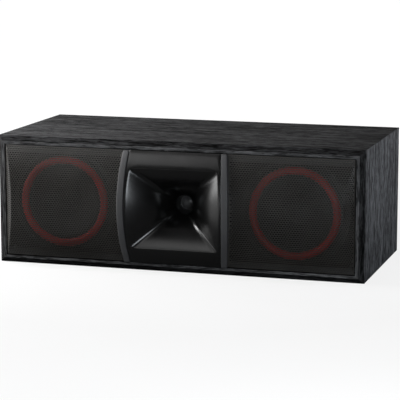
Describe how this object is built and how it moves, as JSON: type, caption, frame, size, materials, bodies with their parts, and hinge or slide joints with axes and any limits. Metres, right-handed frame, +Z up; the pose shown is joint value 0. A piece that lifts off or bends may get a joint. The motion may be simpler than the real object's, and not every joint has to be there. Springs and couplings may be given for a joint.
{
  "type": "center channel speaker",
  "caption": "Wide black wood-grain cabinet with a bowed front: a horn tweeter between grey bars and perforated grilles over red-edged woofers; terminals at the back.",
  "frame": {"origin": "middle of the bottom panel's underside", "axes": "+X along the width, front towards -Y, +Z up"},
  "size_m": [0.585, 0.294, 0.202],
  "materials": {
    "cabinet_vinyl": "black wood-grain vinyl over fibre board",
    "inner_board": "black fibre board",
    "grille_steel": "satin black perforated sheet",
    "trim_grey": "satin grey",
    "horn_black": "gloss black moulding",
    "black_plastic": "satin black",
    "basket_steel": "black paint",
    "surround_red": "red rubber",
    "cone_black": "dark woven cone",
    "gasket_foam": "black foam rubber",
    "spider_cloth": "resin-stiffened cloth",
    "coil_copper": "enamelled copper",
    "motor_steel": "zinc-plated steel",
    "magnet_ferrite": "dark ferrite",
    "dome_cloth": "coated dome",
    "screw_steel": "black oxide",
    "post_brass": "gold-washed brass",
    "nut_red": "clear red",
    "nut_black": "black",
    "board_fibre": "green circuit board",
    "tag_fibre": "brown fibre",
    "capacitor_film": "amber film",
    "resistor_ceramic": "white ceramic",
    "lead_sleeve": "black sleeve"
  },
  "bodies": {
    "cabinet": {"top_panel": "cabinet_vinyl", "bottom_panel": "cabinet_vinyl", "left_side_panel": "cabinet_vinyl", "right_side_panel": "cabinet_vinyl", "front_baffle": "inner_board", "back_panel": "inner_board", "horn_flare": "horn_black", "horn_screws": "screw_steel", "tweeter_diaphragm": "dome_cloth", "tweeter_voice_coil": "coil_copper", "tweeter_top_plate": "motor_steel", "tweeter_magnet": "magnet_ferrite", "tweeter_yoke": "motor_steel", "tweeter_screws": "screw_steel", "tag_boards": "tag_fibre", "peg_cups": "black_plastic", "woofer_screws": "screw_steel", "terminal_cup": "black_plastic", "terminal_cup_screws": "screw_steel", "binding_posts": "post_brass", "post_collars": "black_plastic", "crossover_standoffs": "black_plastic", "crossover_board": "board_fibre", "crossover_coils": "coil_copper", "crossover_capacitors": "capacitor_film", "crossover_resistors": "resistor_ceramic", "input_lead": "lead_sleeve", "tweeter_lead": "lead_sleeve", "left_brace": "inner_board", "left_woofer_basket": "basket_steel", "left_woofer_gasket": "gasket_foam", "left_woofer_surround": "surround_red", "left_woofer_spider": "spider_cloth", "left_woofer_top_plate": "motor_steel", "left_woofer_magnet": "magnet_ferrite", "left_woofer_yoke": "motor_steel", "left_woofer_lead": "lead_sleeve", "right_brace": "inner_board", "right_woofer_basket": "basket_steel", "right_woofer_gasket": "gasket_foam", "right_woofer_surround": "surround_red", "right_woofer_spider": "spider_cloth", "right_woofer_top_plate": "motor_steel", "right_woofer_magnet": "magnet_ferrite", "right_woofer_yoke": "motor_steel", "right_woofer_lead": "lead_sleeve"},
    "left_cone": {"left_woofer_cone": "cone_black", "left_woofer_dust_cap": "cone_black", "left_woofer_voice_coil": "coil_copper"},
    "left_grille_set": {"left_grille": "grille_steel", "left_trim_bar": "trim_grey", "left_grille_rails": "black_plastic"},
    "right_cone": {"right_woofer_cone": "cone_black", "right_woofer_dust_cap": "cone_black", "right_woofer_voice_coil": "coil_copper"},
    "right_grille_set": {"right_grille": "grille_steel", "right_trim_bar": "trim_grey", "right_grille_rails": "black_plastic"},
    "red_nut": {"red_thumb_nut": "nut_red"},
    "black_nut": {"black_thumb_nut": "nut_black"}
  },
  "joints": [
    {"name": "left_cone_travel", "type": "slide", "parent": "cabinet", "child": "left_cone", "axis": [0, -1, 0], "range_m": [-0.005, 0.005], "stiffness_N_per_m": 1200, "deforming": ["left_woofer_surround", "left_woofer_spider"]},
    {"name": "left_grille_pull", "type": "slide", "parent": "cabinet", "child": "left_grille_set", "axis": [0, -1, 0], "range_m": [0, 0.06]},
    {"name": "right_cone_travel", "type": "slide", "parent": "cabinet", "child": "right_cone", "axis": [0, -1, 0], "range_m": [-0.005, 0.005], "stiffness_N_per_m": 1200, "deforming": ["right_woofer_surround", "right_woofer_spider"]},
    {"name": "right_grille_pull", "type": "slide", "parent": "cabinet", "child": "right_grille_set", "axis": [0, -1, 0], "range_m": [0, 0.06]},
    {"name": "red_nut_turn", "type": "hinge", "parent": "cabinet", "child": "red_nut", "pos_m": [0.0095, 0.122, 0.101], "axis": [0, 1, 0], "continuous": true},
    {"name": "black_nut_turn", "type": "hinge", "parent": "cabinet", "child": "black_nut", "pos_m": [-0.0095, 0.122, 0.101], "axis": [0, 1, 0], "continuous": true}
  ]
}
